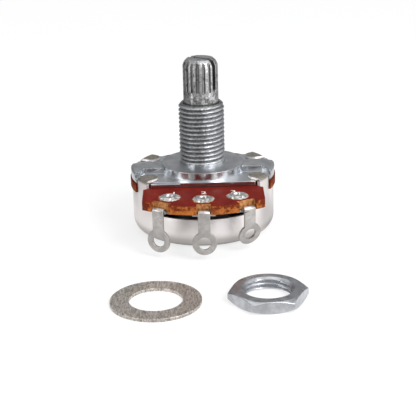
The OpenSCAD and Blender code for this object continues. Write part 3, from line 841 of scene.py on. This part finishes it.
def light_studio():
    """Three soft lamps, and a surround that is brighter overhead and to the front right.

    The camera and clear surfaces see it white, and metal sees its horizon paler."""
    cool_white = (0.97, 0.985, 1.0)
    soft_lamp("key", place=(240, -260, 300), size=200, power=1.5)
    soft_lamp("fill", place=(-330, -200, 160), size=220, power=0.6)
    soft_lamp("top", place=(-40, 120, 420), size=460, power=0.6)
    world = bpy.data.worlds.new("surround")
    bpy.context.scene.world = world
    tree = NodeTree(world)
    direction = tree.node("ShaderNodeTexCoord", output="Generated")
    front_right = tree.along(direction, (0.90, -0.34, 0.27)).rise(0.35, 0.90)
    overhead = tree.along(direction, (0, -0.31, 0.95)).rise(0.80, 0.97)
    horizon = 1 - abs(tree.parts(direction)[2]).rise(0.03, 0.12)
    camera_ray, glossy_ray, clear_ray = tree.rays_seen()
    level = 0.30 + front_right * 1.1 + overhead * 0.35
    white = (camera_ray + clear_ray).either(glossy_ray * horizon * 0.35)
    background = tree.nodes["Background"]
    tree.fill(background.inputs["Color"], cool_white)
    tree.fill(background.inputs["Strength"], level * (1 - white) + white)


def lay_floor():
    """Large pale floor under the part, which shows white to the camera and in metal, and takes the shadow.

    Metal sees a painted shadow on it under the part, and sees it darker close beside it, and further out
    but for the front right."""
    pale = (0.90, 0.90, 0.90)
    white_light = (1, 1, 1)
    no_light = (0, 0, 0)
    ends = (-FLOOR_HALF, FLOOR_HALF)
    points = np.array([(x, y, FLOOR_Z) for x in ends for y in ends])
    floor = make_mesh("floor", points, np.array([[0, 2, 3, 1]]))
    finish = Finish("floor_paper", Roughness=0.9, Base_Color=pale)
    paper = Signal(finish, finish.shader.outputs[0])
    glow = finish.node("ShaderNodeEmission", None, white_light)
    gloom = finish.node("ShaderNodeEmission", None, no_light)
    camera_ray, glossy_ray, clear_ray = finish.rays_seen()
    x, y, _ = finish.axes()
    away = finish.away()
    white = (camera_ray + glossy_ray + clear_ray) * (0.7 + away.rise(60, 400) * 0.3)
    lit_side = ((x * 0.91 - y * 0.41) / away).rise(0.30, 0.85)
    # painted shadow: metal sees the floor dark under the part, where the glowing floor shows no shadow of
    # its own
    under = (1 - away.rise(9, 20)) * 0.4
    beside = (abs(x) / away).rise(0.82, 0.98) * (1 - away.rise(28, 50)) * (0.36 + x / away * 0.24)
    further = (0.05 + away.rise(30, 62) * 0.8) * (1 - lit_side)
    dark = glossy_ray * under.either(further).either(beside)
    shown = finish.node("ShaderNodeMixShader", None, white, paper, glow)
    shown = finish.node("ShaderNodeMixShader", None, dark, shown, gloom)
    finish.fill(finish.nodes["Material Output"].inputs["Surface"], shown)
    dress(floor, finish.material)


place_camera()
light_studio()
lay_floor()

bronze = sprung_bronze()
tin = tinned_sheet()
silver_ink = printed_film(
    "silver_film", dark=(0.42, 0.41, 0.38), light=(0.58, 0.57, 0.53), roughness=0.45)
carbon_ink = printed_film(
    "carbon_film", dark=(0.008, 0.008, 0.009), light=(0.020, 0.020, 0.021), roughness=0.55)
node_finishes = {
    "shaft": shaft_metal(),
    "retaining_ring": spring_steel(),
    "rotor": moulded_black(),
    "wiper": bronze,
    "thrust_washer": bronze,
    "collector_ring": bronze,
    "terminal_board": laminate(),
    "carbon_track": carbon_ink,
    "track_end_1": silver_ink,
    "track_end_3": silver_ink,
    "terminal_1": tin,
    "terminal_2": tin,
    "terminal_3": tin,
    "rear_cover": cover_metal(),
    "flat_washer": washer_metal(),
}
for node, material in node_finishes.items():
    dress_node(node, material)
for node, width in NODE_EDGES.items():
    soften(node, width)

plate = threaded_plate()
dress(plate, cast_zinc())
shade_smooth(plate)
flatten_shading(plate)
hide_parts("mounting_plate")
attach(plate, "housing")

nut = threaded_nut()
dress(nut, nut_metal())
shade_smooth(nut)
flatten_shading(nut)
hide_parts("mounting_nut")
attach(nut, "housing")

eyelet_tin = tinned_eyelet()
for number, (petals, turn) in EYELET_PETALS.items():
    eyelet = flared_eyelet(number, petals, turn)
    dress(eyelet, eyelet_tin)
    shade_smooth(eyelet)
    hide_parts(f"eyelet_{number}")
    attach(eyelet, "housing")

ink = number_ink()
for text, (x, y) in NUMBER_PLACES.items():
    numeral = printed_number(text, x, y)
    dress(numeral, ink)
    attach(numeral, "housing")

bpy.context.scene.view_settings.view_transform = "Standard"
